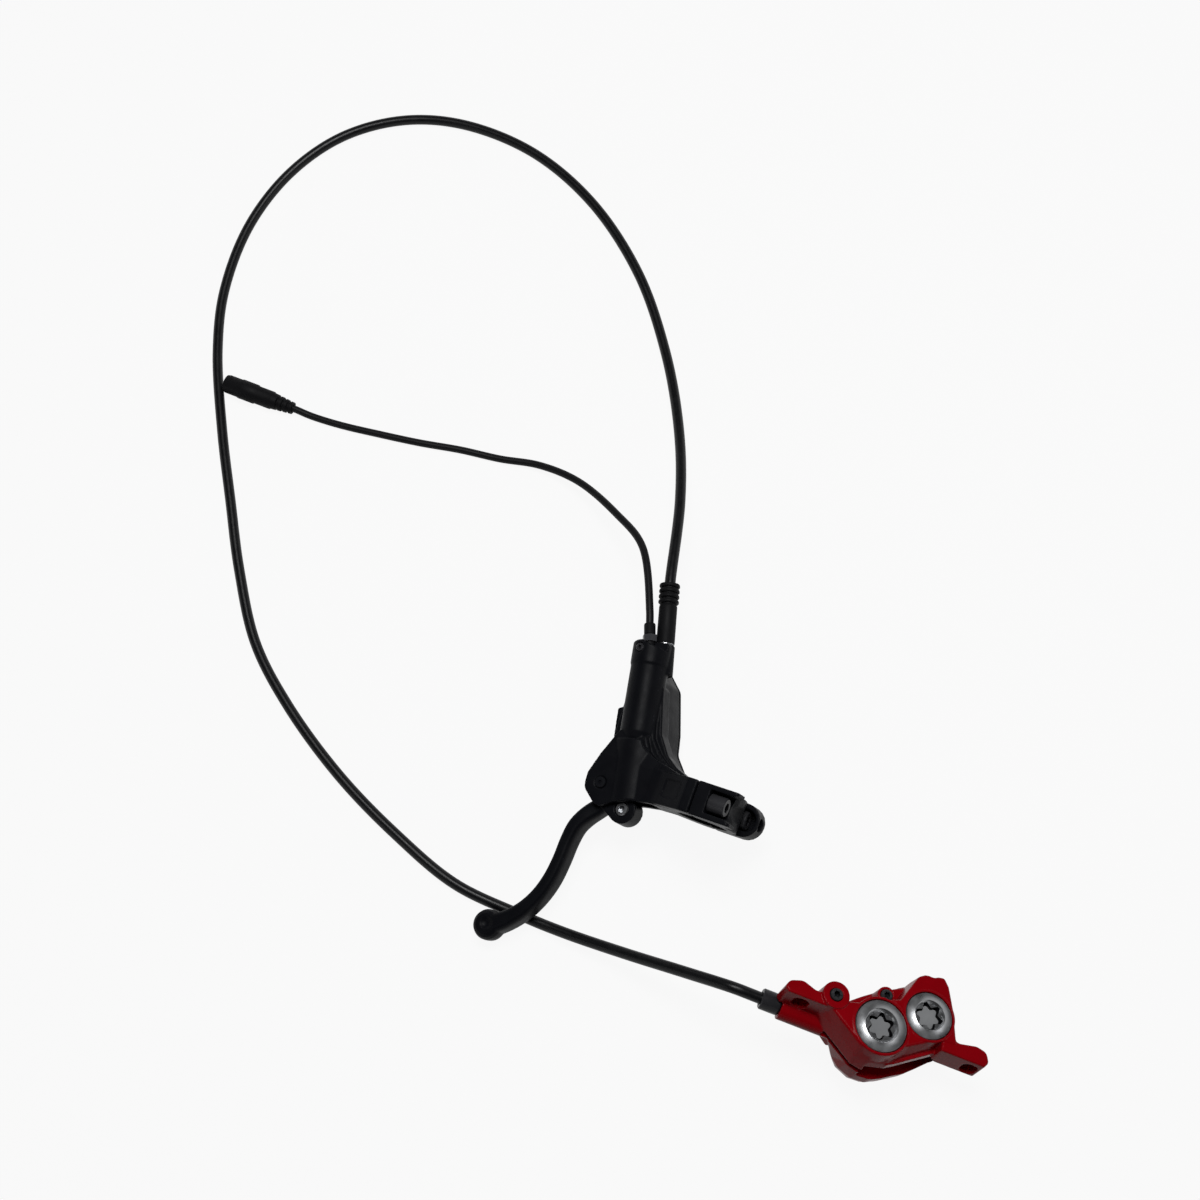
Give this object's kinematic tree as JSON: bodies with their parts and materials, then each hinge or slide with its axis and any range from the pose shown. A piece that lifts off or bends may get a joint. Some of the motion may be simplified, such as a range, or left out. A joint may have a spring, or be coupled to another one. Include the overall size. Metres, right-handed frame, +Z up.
{
  "type": "hydraulic disc brake",
  "caption": "hydraulic disc brake for a bicycle: lever with master cylinder, hose, switch cable and four-piston caliper, laid out on a surface",
  "frame": {"origin": "middle of the base of the lever and caliper together, on the surface they lie on", "axes": "+Z up; +X from the lever towards the caliper; +Y along the handlebar, towards the hose loop"},
  "size_m": [0.4546, 0.4095, 0.0622],
  "materials": {
    "black_paint": "satin black paint on cast aluminium",
    "caliper_red": "glossy red anodised finish",
    "black_steel": "blackened steel",
    "silver": "machined and bright",
    "steel": "plain steel",
    "brass": "turned brass",
    "rubber": "matt black rubber",
    "hose": "black nylon hose cover, satin",
    "cable": "soft black cable jacket",
    "lining": "sintered friction material",
    "phenolic": "moulded piston"
  },
  "bodies": {
    "brake_frame": {"master_cylinder_body": "black_paint", "clamp_cap": "black_paint", "clamp_bolt_upper": "black_steel", "clamp_bolt_lower": "black_steel", "reservoir_cover": "black_paint", "reservoir_diaphragm": "rubber", "cover_screw_1": "black_steel", "cover_screw_2": "black_steel", "cover_screw_3": "black_steel", "cover_screw_4": "black_steel", "lever_bleed_screw": "black_steel", "lever_pivot_pin": "black_steel", "master_return_spring": "steel", "piston_retaining_clip": "steel", "hose_nut_lever": "silver", "hose_olive_lever": "brass", "hose_barb_lever": "steel", "hose_boot": "rubber", "brake_switch": "black_steel", "switch_nut": "black_steel", "switch_cable": "cable", "cable_connector": "rubber", "connector_contacts": "brass", "caliper_body": "caliper_red", "bore_cap_large": "silver", "bore_cap_small": "silver", "cap_seal_large": "rubber", "cap_seal_small": "rubber", "outer_piston_seal_large": "rubber", "outer_piston_seal_small": "rubber", "inner_piston_seal_large": "rubber", "inner_piston_seal_small": "rubber", "pad_spring": "steel", "pad_pin": "black_steel", "caliper_bleed_screw": "black_steel", "hose_nut_caliper": "black_steel", "hose_olive_caliper": "brass", "hose_barb_caliper": "steel", "brake_hose": "hose"},
    "lever": {"brake_lever": "black_paint", "pivot_bush_upper": "brass", "pivot_bush_lower": "brass", "pushrod_cross_pin": "silver"},
    "push_rod": {"pushrod": "steel"},
    "piston_group": {"master_piston": "steel", "primary_cup": "rubber", "secondary_seal": "rubber"},
    "outer_piston_a": {"outer_piston_large": "phenolic"},
    "outer_piston_b": {"outer_piston_small": "phenolic"},
    "inner_piston_a": {"inner_piston_large": "phenolic"},
    "inner_piston_b": {"inner_piston_small": "phenolic"},
    "outer_pad": {"outer_pad_plate": "black_steel", "outer_pad_lining": "lining"},
    "inner_pad": {"inner_pad_plate": "black_steel", "inner_pad_lining": "lining"}
  },
  "joints": [
    {"name": "lever_pivot", "type": "hinge", "parent": "brake_frame", "child": "lever", "pos_m": [-0.07122, -0.00121, 0.0237], "axis": [-0.2742, -0.0902, 0.9574], "range_deg": [0, 20], "stiffness_Nm_per_rad": 0.25, "springref_deg": -17.19},
    {"name": "pushrod_pivot", "type": "hinge", "parent": "lever", "child": "push_rod", "pos_m": [-0.06026, -0.0101, 0.026], "axis": [-0.2742, -0.0902, 0.9574], "range_deg": [-12.58, 0]},
    {"name": "master_piston_slide", "type": "slide", "parent": "brake_frame", "child": "piston_group", "axis": [-0.1283, 0.9901, 0.0565], "range_m": [0, 0.0041], "deforming": ["master_return_spring"]},
    {"name": "outer_piston_a_slide", "type": "slide", "parent": "brake_frame", "child": "outer_piston_a", "axis": [-0.2197, -0.305, -0.9267], "range_m": [0, 0.0004]},
    {"name": "outer_piston_b_slide", "type": "slide", "parent": "brake_frame", "child": "outer_piston_b", "axis": [-0.2197, -0.305, -0.9267], "range_m": [0, 0.0004]},
    {"name": "inner_piston_a_slide", "type": "slide", "parent": "brake_frame", "child": "inner_piston_a", "axis": [0.2197, 0.305, 0.9267], "range_m": [0, 0.0004]},
    {"name": "inner_piston_b_slide", "type": "slide", "parent": "brake_frame", "child": "inner_piston_b", "axis": [0.2197, 0.305, 0.9267], "range_m": [0, 0.0004]},
    {"name": "outer_pad_slide", "type": "slide", "parent": "brake_frame", "child": "outer_pad", "axis": [-0.2197, -0.305, -0.9267], "range_m": [0, 0.0004]},
    {"name": "inner_pad_slide", "type": "slide", "parent": "brake_frame", "child": "inner_pad", "axis": [0.2197, 0.305, 0.9267], "range_m": [0, 0.0004]}
  ],
  "couplings": [
    {"joint": "pushrod_pivot", "follows": "lever_pivot", "ratio": -0.6215},
    {"joint": "master_piston_slide", "follows": "lever_pivot", "m_per_rad": 0.011242},
    {"joint": "outer_piston_a_slide", "follows": "lever_pivot", "m_per_rad": 0.00112},
    {"joint": "outer_piston_b_slide", "follows": "lever_pivot", "m_per_rad": 0.00112},
    {"joint": "inner_piston_a_slide", "follows": "lever_pivot", "m_per_rad": 0.00112},
    {"joint": "inner_piston_b_slide", "follows": "lever_pivot", "m_per_rad": 0.00112},
    {"joint": "outer_pad_slide", "follows": "lever_pivot", "m_per_rad": 0.00112},
    {"joint": "inner_pad_slide", "follows": "lever_pivot", "m_per_rad": 0.00112}
  ]
}
